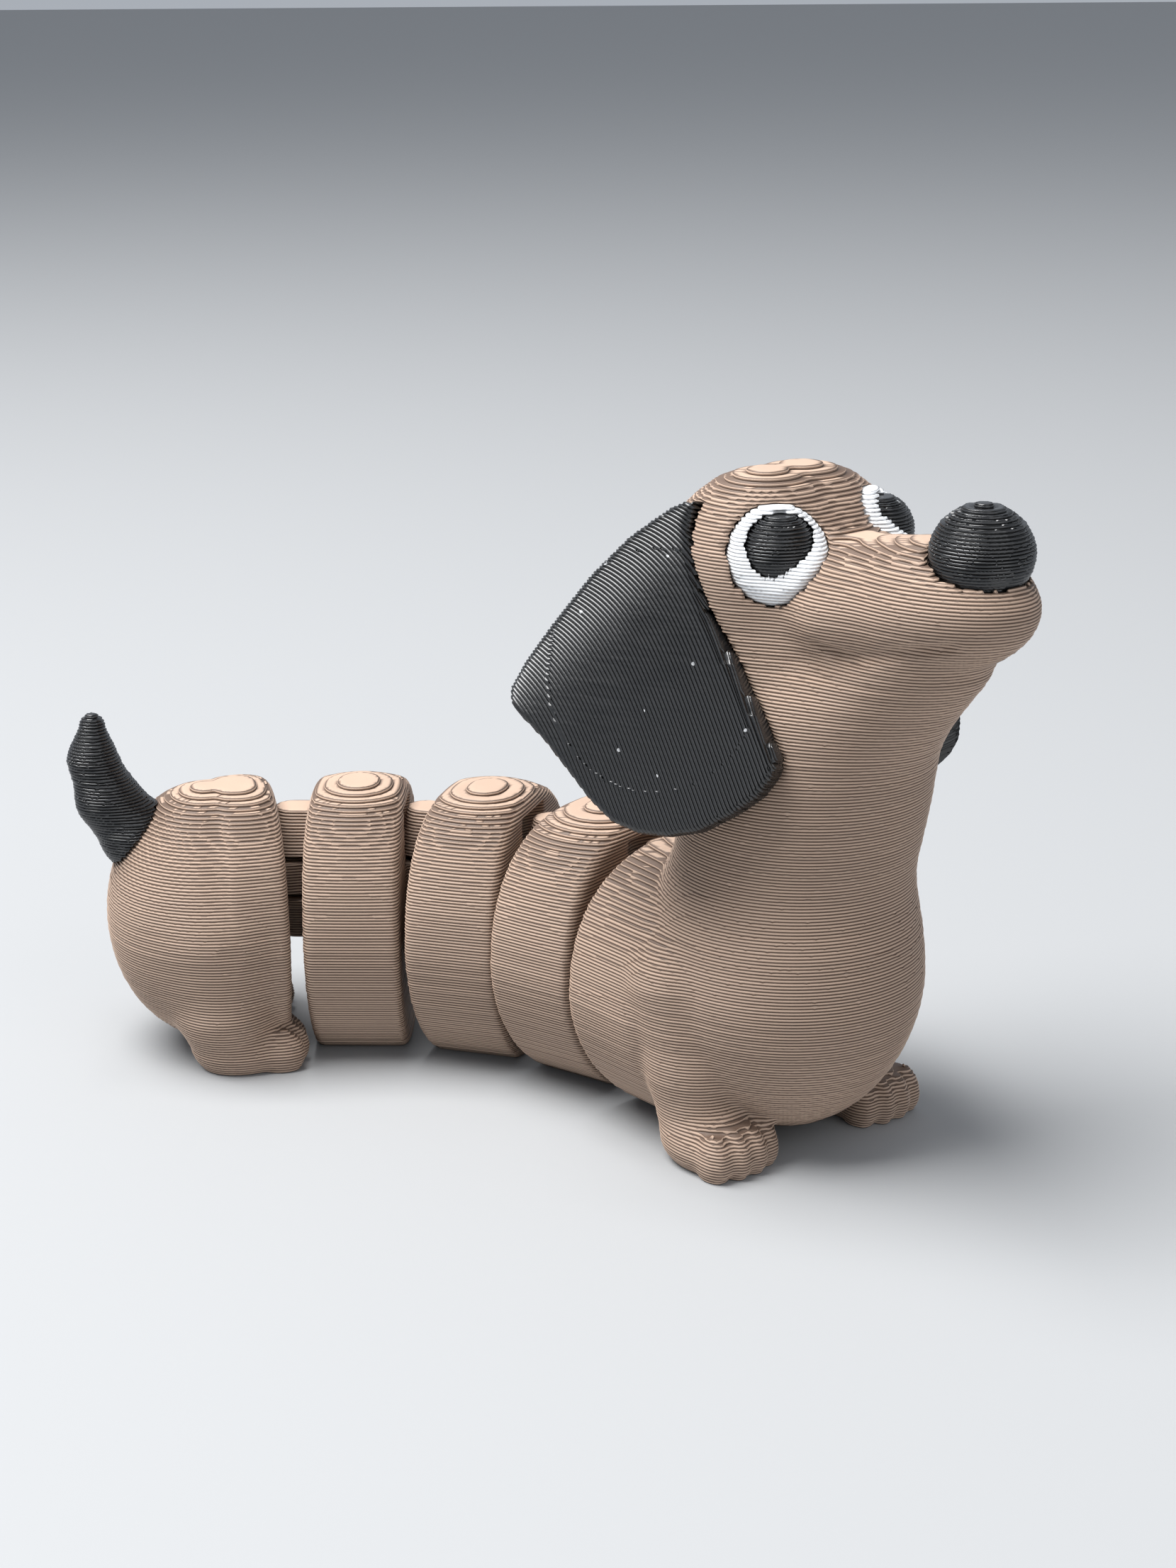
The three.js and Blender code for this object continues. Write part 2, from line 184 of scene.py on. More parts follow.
# ---- Printing: a field becomes a stack of beads ----
@dataclass
class Print:
    """A block of layers that one piece is printed in.

    In each layer the field is read once, at the middle of its height. The mesh has a row of points
    round the middle of each bead, a row in each groove, and flat treads where a layer stands out.
    """

    low: Triple
    high: Triple
    cell: float = 0.3               # spacing of the points along a bead, mm
    wobble: float = 0.012           # how unevenly the layers are laid, mm
    seed: int = 7
    layering: Layering = Layering.UPRIGHT
    layer: float = LAYER            # height of one layer, mm

    def to_piece(self, s: np.ndarray) -> np.ndarray:
        """Turns places in the printer's block into places in the piece's own frame."""
        if self.layering is Layering.UPRIGHT:
            return s
        return LeafPath().to_piece(s)

    def mesh(self, shape: Field) -> tuple[np.ndarray, np.ndarray, np.ndarray, np.ndarray]:
        """Meshes a field as printed layers.

        Args:
            shape: The distance field, in the piece's own frame.

        Returns:
            The points, the four-sided faces, how deep in a groove each point is (0 to 1) and the
            build height of each point.
        """
        xs, ys = (np.arange(self.low[i], self.high[i] + self.cell, self.cell) for i in (0, 1))
        first = math.floor(self.low[2] / self.layer)
        count = math.ceil(self.high[2] / self.layer) - first
        heights = (np.arange(count) + first + 0.5) * self.layer
        places = np.stack(np.meshgrid(xs, ys, heights, indexing="ij"), -1).reshape(-1, 3)
        values = shape(self.to_piece(places)).reshape(len(xs), len(ys), count)
        values = values + np.random.default_rng(self.seed).normal(0, self.wobble, count)
        values[[0, -1]] = values[:, [0, -1]] = 1.0
        planes = np.ones((len(xs), len(ys), 2 * count + 2))
        planes[:, :, 1:-1:2] = values
        planes[:, :, 2:-1:2] = values
        cells, spots, on_line = self._points(planes)
        level = (cells[:, 2] / 2 + first) * self.layer
        flat = np.stack([xs[0] + spots[:, 0] * self.cell, ys[0] + spots[:, 1] * self.cell, level], -1)
        groove = (on_line & (cells[:, 2] % 2 == 0)).astype(float)
        return self.to_piece(flat), self._faces(planes < 0, cells), groove, level

    @staticmethod
    def _points(planes: np.ndarray) -> tuple[np.ndarray, np.ndarray, np.ndarray]:
        """Finds the cells that the surface passes through, and the place of its point in each.

        Args:
            planes: The field on the planes above and below every layer.

        Returns:
            The cells, the places in cell widths, and whether an outline passes through each cell.
        """
        inside = planes < 0
        corners = [inside[i:i - 1 or None, j:j - 1 or None, k:k - 1 or None]
                   for i in (0, 1) for j in (0, 1) for k in (0, 1)]
        filled = np.add.reduce([c.astype(np.int8) for c in corners])
        cells = np.argwhere((filled > 0) & (filled < 8))
        i, j, k = cells.T
        total = np.zeros((len(cells), 2))
        hits = np.zeros(len(cells))
        for up in (0, 1):
            for side in (0, 1):
                for axis in (0, 1):
                    start = (i, j + side, k + up) if axis == 0 else (i + side, j, k + up)
                    end = (i + 1, j + side, k + up) if axis == 0 else (i + side, j + 1, k + up)
                    a, b = planes[start], planes[end]
                    crossed = (a < 0) != (b < 0)
                    share = np.where(crossed, a / np.where(crossed, a - b, 1), 0)
                    spot = np.stack([share, np.full_like(share, side)], -1)
                    total[crossed] += (spot if axis == 0 else spot[:, ::-1])[crossed]
                    hits += crossed
        on_line = hits > 0
        offset = np.where(on_line[:, None], total / np.maximum(hits, 1)[:, None], 0.5)
        return cells, cells[:, :2] + offset, on_line

    @staticmethod
    def _faces(inside: np.ndarray, cells: np.ndarray) -> np.ndarray:
        """Joins the points round every grid edge that the surface crosses into a face."""
        number = np.full(tuple(n - 1 for n in inside.shape), -1)
        number[tuple(cells.T)] = np.arange(len(cells))
        faces = []
        for axis in range(3):
            ahead = np.eye(3, dtype=int)[axis]
            left, right = np.eye(3, dtype=int)[(axis + 1) % 3], np.eye(3, dtype=int)[(axis + 2) % 3]
            span = [slice(1, n - 1) for n in inside.shape]
            span[axis] = slice(0, inside.shape[axis] - 1)
            here = inside[tuple(span)]
            span[axis] = slice(1, inside.shape[axis])
            crossed = np.argwhere(here != inside[tuple(span)])
            out = here[tuple(crossed.T)]
            base = crossed + 1 - ahead
            steps = (left + right, right, 0 * left, left)
            ring = np.stack([number[tuple((base - step).T)] for step in steps], -1)
            ring[~out] = ring[~out][:, ::-1]
            faces.append(ring)
        return np.concatenate(faces)


@dataclass
class LeafPath:
    """How the layers run over an ear: along the leaf, and sweeping over at its rear edge."""

    lean: float = 29.0              # degrees that the lines lean back from upright
    sweep: float = 1.05             # how strongly they turn over at the rear edge
    reach: float = 3.4              # how far in from the rear edge they turn, mm
    edge: tuple[float, float] = (-6.2, -4.4)
    edge_facing: tuple[float, float] = (-0.72, 0.69)
    run: float = 27.0               # degrees that the block of layers leans back
    steepest: float = 0.3           # where the turning stops growing, in reaches past the edge
    rounds: int = 8                 # of Newton's method, which finds the height of a line

    def to_piece(self, block: np.ndarray) -> np.ndarray:
        """Finds the places on the leaf (forwards, up, inwards) of places in the block of layers.

        Args:
            block: Rows of place along the lines, place through the leaf, and build height.

        Returns:
            Rows of forwards, up and inwards.
        """
        along, inwards, height = block.T
        run = math.radians(self.run)
        down, across = np.array([math.sin(run), -math.cos(run)]), np.array([math.cos(run), math.sin(run)])
        lean = math.radians(self.lean)
        rise = np.array([math.cos(lean), math.sin(lean)])
        facing = np.array(self.edge_facing)
        place = height.copy()
        for _ in range(self.rounds):
            spot = along[:, None] * down + place[:, None] * across
            past = (spot - np.array(self.edge)) @ facing
            turned = np.exp(np.clip(past / self.reach, -20, self.steepest))
            beyond = np.maximum(past / self.reach - self.steepest, 0)
            miss = spot @ rise + self.sweep * self.reach * turned * (1 + beyond) - height
            place = place - miss / (across @ rise + self.sweep * turned * (across @ facing))
        spot = along[:, None] * down + place[:, None] * across
        return np.stack([spot[:, 0], spot[:, 1], inwards], -1)


# ---- Geometry Nodes ----
def node(tree: bpy.types.NodeTree, kind: str, inputs: dict | None = None, **settings) -> bpy.types.Node:
    """Adds a node, with its settings and the values or links of its inputs.

    Args:
        tree: The tree to add to.
        kind: The node's type name.
        inputs: Values, or sockets to link from, by input name or number.
        **settings: The node's own settings.

    Returns:
        The new node.
    """
    made = tree.nodes.new(kind)
    for name, value in settings.items():
        setattr(made, name, value)
    for name, value in (inputs or {}).items():
        if isinstance(value, bpy.types.NodeSocket):
            tree.links.new(value, made.inputs[name])
        else:
            made.inputs[name].default_value = value
    return made


def new_tree(name: str, inputs: dict[str, str]) -> tuple[bpy.types.NodeTree, bpy.types.Node]:
    """Starts a Geometry Nodes tree with named inputs.

    Args:
        name: The tree's name.
        inputs: Socket type of each input besides the geometry, by name.

    Returns:
        The tree and its Group Input node.
    """
    tree = bpy.data.node_groups.new(name, "GeometryNodeTree")
    tree.interface.new_socket("Geometry", in_out="INPUT", socket_type="NodeSocketGeometry")
    for label, kind in inputs.items():
        tree.interface.new_socket(label, in_out="INPUT", socket_type=kind)
    tree.interface.new_socket("Geometry", in_out="OUTPUT", socket_type="NodeSocketGeometry")
    return tree, node(tree, "NodeGroupInput")


def close_tree(tree: bpy.types.NodeTree, geometry: bpy.types.NodeSocket,
               material: bpy.types.NodeSocket) -> None:
    """Ends a tree in Realize Instances and Set Material."""
    real = node(tree, "GeometryNodeRealizeInstances", {"Geometry": geometry})
    painted = node(tree, "GeometryNodeSetMaterial", {"Geometry": real.outputs[0], "Material": material})
    node(tree, "NodeGroupOutput", {"Geometry": painted.outputs[0]})


def bead_tree() -> bpy.types.NodeTree:
    """The tree that presses the grooves between the beads into a layered mesh."""
    tree, given = new_tree("Bead grooves", {
        "Groove Depth": "NodeSocketFloat", "Material": "NodeSocketMaterial"})
    groove = node(tree, "GeometryNodeInputNamedAttribute", {"Name": "groove"}, data_type="FLOAT")
    deep = node(tree, "ShaderNodeMath", {
        0: groove.outputs[0], 1: given.outputs["Groove Depth"]}, operation="MULTIPLY")
    inwards = node(tree, "ShaderNodeMath", {0: deep.outputs[0], 1: -1.0}, operation="MULTIPLY")
    facing = node(tree, "GeometryNodeInputNormal")
    push = node(tree, "ShaderNodeVectorMath", {
        0: facing.outputs[0], "Scale": inwards.outputs[0]}, operation="SCALE")
    moved = node(tree, "GeometryNodeSetPosition", {
        "Geometry": given.outputs["Geometry"], "Offset": push.outputs[0]})
    close_tree(tree, moved.outputs[0], given.outputs["Material"])
    return tree


def run_tree(piece: bpy.types.Object, tree: bpy.types.NodeTree, values: dict) -> None:
    """Runs a tree on a piece and keeps the result as the piece's plain mesh.

    Args:
        piece: The object to change.
        tree: The Geometry Nodes tree.
        values: The tree's named inputs.
    """
    modifier = piece.modifiers.new(tree.name, "NODES")
    modifier.node_group = tree
    for item in tree.interface.items_tree:
        if item.in_out == "INPUT" and item.name in values:
            modifier[item.identifier] = values[item.name]
    graph = bpy.context.evaluated_depsgraph_get()
    mesh = bpy.data.meshes.new_from_object(
        piece.evaluated_get(graph), preserve_all_data_layers=True, depsgraph=graph)
    piece.modifiers.remove(modifier)
    piece.data = mesh


# ---- Finishes: scales are per metre ----
BLOTCHES = 260.0
STREAKS = (420.0, 420.0, 5200.0)        # long along a bead, thin across it
GRAIN = 6500.0
GRAIN_DEPTH = 0.00003           # m
BEAD_DEPTH = 0.00008            # how deep the shading makes a groove look, m
ROUGHNESS_SPREAD = 0.08
SPECKS = 1400.0
SPECK_RADIUS = 0.16             # in cells of the specks
SPECK_STRENGTH = 0.75
DUST = (0.62, 0.63, 0.64)


@dataclass(frozen=True)
class PrintedPlastic:
    """Filament laid in beads: a tone for each 0.2 mm of build height, painted shade in the grooves, grain and
    dust.
    """

    slot: str
    colour: Triple
    # painted shade: the colour laid into the grooves between beads, where shade falls, and how strongly it is
    # laid
    groove_shade_colour: Triple
    groove_shade_strength: float
    roughness: float
    groove_depth: float             # mm
    dust: float = 0.0               # share of the surface with pale specks
    mottle: float = 0.10            # how far the tone strays to either side
    gloss: float = 0.5              # the shader's specular level
    grain: float = 0.35             # strength of the surface grain

    def material(self) -> bpy.types.Material:
        """Builds the material from nodes."""
        made = bpy.data.materials.new(f"{self.slot}_plastic")
        made.use_nodes = True
        tree = made.node_tree
        shader = tree.nodes["Principled BSDF"]
        shader.inputs["Specular IOR Level"].default_value = self.gloss
        place = node(tree, "ShaderNodeTexCoord").outputs["Object"]
        groove = node(tree, "ShaderNodeAttribute", attribute_name="groove").outputs["Fac"]
        height = node(tree, "ShaderNodeAttribute", attribute_name="build_height").outputs["Fac"]

        layer = node(tree, "ShaderNodeMath", {0: height, 1: LAYER}, operation="DIVIDE")
        whole = node(tree, "ShaderNodeMath", {0: layer.outputs[0]}, operation="FLOOR")
        chance = node(tree, "ShaderNodeTexWhiteNoise", {"W": whole.outputs[0]}, noise_dimensions="1D")
        blotch = node(tree, "ShaderNodeTexNoise", {"Vector": place, "Scale": BLOTCHES, "Detail": 4.0})
        streak_place = node(tree, "ShaderNodeMapping", {"Vector": place, "Scale": STREAKS})
        streak = node(tree, "ShaderNodeTexNoise", {
            "Vector": streak_place.outputs[0], "Scale": 1.0, "Detail": 3.0})
        tones = node(tree, "ShaderNodeMath", {
            0: chance.outputs["Value"], 1: blotch.outputs["Fac"]}, operation="ADD")
        tones = node(tree, "ShaderNodeMath", {0: tones.outputs[0], 1: streak.outputs["Fac"]}, operation="ADD")
        tone = node(tree, "ShaderNodeMapRange", {
            "Value": tones.outputs[0], "From Min": 0.6, "From Max": 2.4,
            "To Min": 1 - self.mottle, "To Max": 1 + self.mottle})
        plain = node(tree, "ShaderNodeVectorMath", {
            0: self.colour, "Scale": tone.outputs[0]}, operation="SCALE")

        # painted shade: the grooves between the beads are darkened towards the groove colour
        line = node(tree, "ShaderNodeMapRange", {
            "Value": groove, "From Min": 0.2, "From Max": 0.95,
            "To Min": 0.0, "To Max": self.groove_shade_strength}, interpolation_type="SMOOTHSTEP")
        lined = self._mix(tree, line.outputs[0], plain.outputs[0], self.groove_shade_colour)
        colour = self._dusted(tree, lined, place) if self.dust else lined
        tree.links.new(colour, shader.inputs["Base Color"])

        rough = node(tree, "ShaderNodeMapRange", {
            "Value": streak.outputs["Fac"], "From Min": 0.2, "From Max": 0.8,
            "To Min": self.roughness - ROUGHNESS_SPREAD, "To Max": self.roughness + ROUGHNESS_SPREAD})
        tree.links.new(rough.outputs[0], shader.inputs["Roughness"])

        grain = node(tree, "ShaderNodeTexNoise", {"Vector": place, "Scale": GRAIN, "Detail": 3.0})
        fine = node(tree, "ShaderNodeBump", {
            "Strength": self.grain, "Distance": GRAIN_DEPTH, "Height": grain.outputs["Fac"]})
        dip = node(tree, "ShaderNodeMath", {0: groove, 1: 2.0}, operation="POWER")
        bead = node(tree, "ShaderNodeBump", {
            "Strength": 1.0, "Distance": BEAD_DEPTH,
            "Height": dip.outputs[0], "Normal": fine.outputs[0]}, invert=True)
        tree.links.new(bead.outputs[0], shader.inputs["Normal"])
        return made

    @staticmethod
    def _mix(tree: bpy.types.NodeTree, share: bpy.types.NodeSocket, first: bpy.types.NodeSocket,
             second: Triple) -> bpy.types.NodeSocket:
        """Mixes a colour socket with a plain colour and returns the result's socket."""
        mix = node(tree, "ShaderNodeMix", data_type="RGBA")
        tree.links.new(share, mix.inputs[0])
        tree.links.new(first, mix.inputs[6])
        mix.inputs[7].default_value = (*second, 1.0)
        return mix.outputs[2]

    def _dusted(self, tree: bpy.types.NodeTree, colour: bpy.types.NodeSocket,
                place: bpy.types.NodeSocket) -> bpy.types.NodeSocket:
        """Lays pale specks of dust over a colour."""
        cells = node(tree, "ShaderNodeTexVoronoi", {"Vector": place, "Scale": SPECKS})
        near = node(tree, "ShaderNodeMath", {
            0: cells.outputs["Distance"], 1: SPECK_RADIUS}, operation="LESS_THAN")
        picked = node(tree, "ShaderNodeSeparateColor", {0: cells.outputs["Color"]})
        rare = node(tree, "ShaderNodeMath", {
            0: picked.outputs[0], 1: 1 - self.dust}, operation="GREATER_THAN")
        speck = node(tree, "ShaderNodeMath", {0: near.outputs[0], 1: rare.outputs[0]}, operation="MULTIPLY")
        faint = node(tree, "ShaderNodeMath", {0: speck.outputs[0], 1: SPECK_STRENGTH}, operation="MULTIPLY")
        return self._mix(tree, faint.outputs[0], colour, DUST)


# In each finish, the second colour and the number after it are the painted shade in the grooves between beads
# and its strength
BROWN = PrintedPlastic("brown", (0.47, 0.335, 0.25), (0.085, 0.050, 0.034), 0.85, 0.60, 0.06)
BLACK = PrintedPlastic("black", (0.014, 0.0145, 0.0155), (0.0015, 0.0015, 0.0015), 0.97, 0.27, 0.10,
                       dust=0.035, gloss=0.8, grain=0.05)
WHITE = PrintedPlastic("white", (0.88, 0.89, 0.90), (0.60, 0.61, 0.63), 0.35, 0.55, 0.03, mottle=0.03)


# ---- Where the body pieces stand ----
@dataclass(frozen=True)
class Stance:
    """Where a body piece stands: its origin on the ground, in mm, and the way it faces."""

    x: float
    y: float
    heading: float                  # degrees to the left of +X

    def ahead(self, distance: float, turn: float = 0.0) -> "Stance":
        """The stance a distance further ahead, then turned to the left by some degrees."""
        angle = math.radians(self.heading)
        return Stance(self.x + distance * math.cos(angle), self.y + distance * math.sin(angle),
                      self.heading + turn)

    def place(self, points: np.ndarray) -> np.ndarray:
        """Moves points of the piece's own frame, in mm, to the toy's frame, in metres."""
        angle = math.radians(self.heading)
        x = self.x + points[:, 0] * math.cos(angle) - points[:, 1] * math.sin(angle)
        y = self.y + points[:, 0] * math.sin(angle) + points[:, 1] * math.cos(angle)
        return np.stack([x, y, points[:, 2]], -1) * MM


@dataclass
class Chain:
    """The line of hinges, from the chest back to the haunches."""

    radii: tuple[float, ...]        # of the faces, from the chest back to the haunches, mm
    rim_inset: float                # how far the rims are rounded in from the sides, mm
    pivots: list[np.ndarray] = field(default_factory=list)
    bends: list[float] = field(default_factory=list)
    limits: list[float] = field(default_factory=list)

    def __post_init__(self) -> None:
        """Reads the pivots and the rest bends from the frame's joints."""
        for joint in frame["joints"]:
            self.pivots.append(np.array(joint["pos_m"][:2]) / MM)
            low, high = joint["range_deg"]
            self.bends.append(-(low + high) / 2)
            self.limits.append((high - low) / 2)

    def gap(self, number: int) -> float:
        """The open gap at a hinge, mm, from the radii of the two faces and how far they may turn."""
        reach = min(self.radii[number], self.radii[number + 1]) - self.rim_inset / 2
        return 2 * reach * math.tan(math.radians(self.limits[number] / 2))

    def ring(self, number: int) -> Stance:
        """The stance of a ring, counted from the chest: its origin is the centre of its rear face."""
        ahead = self.pivots[number] - self.pivots[number + 1]
        heading = math.degrees(math.atan2(ahead[1], ahead[0]))
        return Stance(*self.pivots[number + 1], heading).ahead(self.gap(number + 1) / 2)

    def ring_length(self, number: int) -> float:
        """The length of a ring along the body: what its two gaps leave of the way between its pivots."""
        apart = float(np.linalg.norm(self.pivots[number] - self.pivots[number + 1]))
        return apart - (self.gap(number) + self.gap(number + 1)) / 2

    def chest(self) -> Stance:
        """The stance of the chest: its origin is the centre of its rear face."""
        heading = self.ring(0).heading - self.bends[0]
        return Stance(*self.pivots[0], heading).ahead(self.gap(0) / 2)

    def haunches(self) -> Stance:
        """The stance of the haunches: their origin is the centre of their front face."""
        heading = self.ring(2).heading + self.bends[3]
        return Stance(*self.pivots[3], heading).ahead(-self.gap(3) / 2)


# ---- Sub-assemblies ----
@dataclass
class Section:
    """The body's cross-section, and a slice of the body with rounded rims."""

    height: float = 18.0
    widest_height: float = 8.9
    dip: float = 0.8                # how far the lower curve would run below the floor
    top_fullness: float = 2.4       # power of the upper curve: 2 is an ellipse, more is squarer
    bottom_fullness: float = 1.84
    rim_depth: float = 0.55         # how far the rims are rounded back from the faces
    rim_inset: float = 0.8          # how far they are rounded in from the sides
    crown: float = 0.5              # how far the top falls away towards the two faces, mm

    def profile(self, points: np.ndarray, radius: float) -> np.ndarray:
        """Distance to an endless body of this section."""
        rise = points[:, 2] - self.widest_height
        reach = np.where(rise > 0, self.height - self.widest_height, self.widest_height + self.dip)
        power = np.where(rise > 0, self.top_fullness, self.bottom_fullness)
        share = (np.abs(points[:, 1]) / radius) ** power + (np.abs(rise) / reach) ** power
        return (share ** (1 / power) - 1) * radius

    def slice(self, points: np.ndarray, rear: float, front: float, radius: float) -> np.ndarray:
        """Distance to a slice of the body between two faces, with rounded rims."""
        share = np.abs(2 * points[:, 0] - rear - front) / (front - rear)
        rise = np.clip((points[:, 2] - self.widest_height) / (self.height - self.widest_height), 0, 1)
        side = self.profile(points, radius) + self.crown * share * share * rise
        end = np.maximum(rear - points[:, 0], points[:, 0] - front)
        over = np.maximum(side + self.rim_inset, 0) / self.rim_inset
        past = np.maximum(end + self.rim_depth, 0) / self.rim_depth
        rim = (np.hypot(over, past) - 1) * np.where(past > over, self.rim_depth, self.rim_inset)
        return np.where((over == 0) | (past == 0), np.maximum(side, end), rim)


@dataclass
class Hinge:
    """A printed-in-place hinge: a fork with its pin on one piece, an eye on the next, in mm."""

    pin_radius: float = 1.2
    lug_radius: float = 2.2
    clearance: float = 0.35         # open space round the pin and the eye
    eye_low: float = 10.6
    eye_high: float = 12.8
    arm_height: float = 3.1
    bite: float = 1.0               # how far the pin reaches into each arm
    root: float = 1.6               # how far a lug starts inside the face it stands on
    cone: float = 0.32              # how much an arm narrows for each mm away from the eye

    def arms(self) -> list[tuple[float, float]]:
        """The heights between which the lower and the upper arm of the fork stand."""
        low, high = self.eye_low - self.clearance, self.eye_high + self.clearance
        return [(low - self.arm_height, low), (high, high + self.arm_height)]

    def with_fork(self, points: np.ndarray, solid: np.ndarray, gap: float) -> np.ndarray:
        """Adds the fork, with its cone-shaped arms, and the pin behind the rear face of a piece, at x = 0."""
        pivot, play = -gap / 2, self.clearance
        pocket = rod(points, pivot, self.eye_low - play, self.eye_high + play, self.lug_radius + play)
        solid = np.maximum(solid, -pocket)
        lower, upper = self.arms()
        away = np.maximum(np.maximum(lower[1] - points[:, 2], points[:, 2] - upper[0]), 0)
        for low, high in (lower, upper):
            arm = lug(points, pivot, self.root, low, high, self.lug_radius - self.cone * away)
            solid = np.minimum(solid, arm)
        pin = rod(points, pivot, lower[1] - self.bite, upper[0] + self.bite, self.pin_radius)
        return np.minimum(solid, pin)

    def with_eye(self, points: np.ndarray, solid: np.ndarray, front: float, gap: float) -> np.ndarray:
        """Adds the eye before the front face of a piece."""
        pivot, play = front + gap / 2, self.clearance
        for low, high in self.arms():
            solid = np.maximum(solid, -rod(points, pivot, low - play, high + play, self.lug_radius + play))
        eye = lug(points, pivot, front - self.root, self.eye_low, self.eye_high, self.lug_radius)
        solid = np.minimum(solid, eye)
        bore = rod(points, pivot, self.eye_low - self.bite, self.eye_high + self.bite,
                   self.pin_radius + play)
        return np.maximum(solid, -bore)


@dataclass
class Workshop:
    """What every sub-assembly is made with: the section, the hinge, the trees and the finishes."""

    section: Section
    hinge: Hinge
    beads: bpy.types.NodeTree = field(default_factory=bead_tree)
    paints: dict[str, bpy.types.Material] = field(default_factory=dict)

    def paint(self, finish: PrintedPlastic) -> bpy.types.Material:
        """The material of a finish, made the first time it is asked for."""
        if finish.slot not in self.paints:
            self.paints[finish.slot] = finish.material()
        return self.paints[finish.slot]

    def make(self, name: str, shape: Field, block: Print, stance: Stance, finish: PrintedPlastic,
             body: str, put: Field | None = None) -> None:
        """Prints a piece, presses its grooves, paints it and puts it on its body.

        Args:
            name: The CAD node that the piece stands for, which is its name too.
            shape: The piece's distance field.
            block: The block of layers that it is printed in.
            stance: Where its body piece stands.
            finish: Its finish.
            body: The body that it rides on.
            put: Moves the piece's points into the body piece's frame, where they differ.
        """
        points, faces, groove, height = block.mesh(shape)
        points = put(points) if put else points
        mesh = bpy.data.meshes.new(name)
        mesh.vertices.add(len(points))
        mesh.vertices.foreach_set("co", stance.place(points).astype(np.float32).ravel())
        mesh.loops.add(faces.size)
        mesh.loops.foreach_set("vertex_index", faces.astype(np.int32).ravel())
        mesh.polygons.add(len(faces))
        mesh.polygons.foreach_set("loop_start", np.arange(0, faces.size, 4, dtype=np.int32))
        mesh.update(calc_edges=True)
        for label, values in (("groove", groove), ("build_height", height)):
            attribute = mesh.attributes.new(label, "FLOAT", "POINT")
            attribute.data.foreach_set("value", values.astype(np.float32))
        piece = bpy.data.objects.new(name + "_print", mesh)
        bpy.context.scene.collection.objects.link(piece)
        run_tree(piece, self.beads, {
            "Groove Depth": finish.groove_depth * MM, "Material": self.paint(finish)})
        self.dress(piece, body, finish)
        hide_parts(name)
        log.info("%s: %d faces on %s", piece.name, len(faces), body)

    @staticmethod
    def dress(piece: bpy.types.Object, body: str, finish: PrintedPlastic) -> None:
        """Puts a piece on its body."""
        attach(piece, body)


TOES = (-1.5, -0.5, 0.5, 1.5)   # places of a paw's toes across it, counted from its middle


def paw(points: np.ndarray, x: float, y: float, half_length: float, half_width: float,
        height: float) -> np.ndarray:
    """A paw with four round toes."""
    pad = egg(points, (x, y, height * 0.4), (half_length, half_width, height * 0.62))
    for place in TOES:
        ahead = x + half_length * (0.72 - 0.06 * place * place)
        toe = egg(points, (ahead, y + place * half_width * 0.45, height * 0.36),
                  (half_length * 0.42, half_width * 0.30, height * 0.5))
        pad = melt(pad, toe, 0.25)
    return pad


@dataclass
class Ring:
    """One flat ring of the body."""

    node: str
    body: str
    number: int                     # counted from the chest

    def build(self, shop: Workshop, chain: Chain) -> None:
        """Prints the ring."""
        length, radius = chain.ring_length(self.number), chain.radii[self.number + 1]

        def shape(points: np.ndarray) -> np.ndarray:
            """The ring with its fork and its eye."""
            solid = shop.section.slice(points, 0, length, radius)
            solid = shop.hinge.with_fork(points, solid, chain.gap(self.number + 1))
            return shop.hinge.with_eye(points, solid, length, chain.gap(self.number))

        block = Print((-4.2, -radius - 0.6, 0), (length + 4.2, radius + 0.6, 18.4), 0.25,
                      seed=self.number)
        shop.make(self.node, shape, block, chain.ring(self.number), BROWN, self.body)


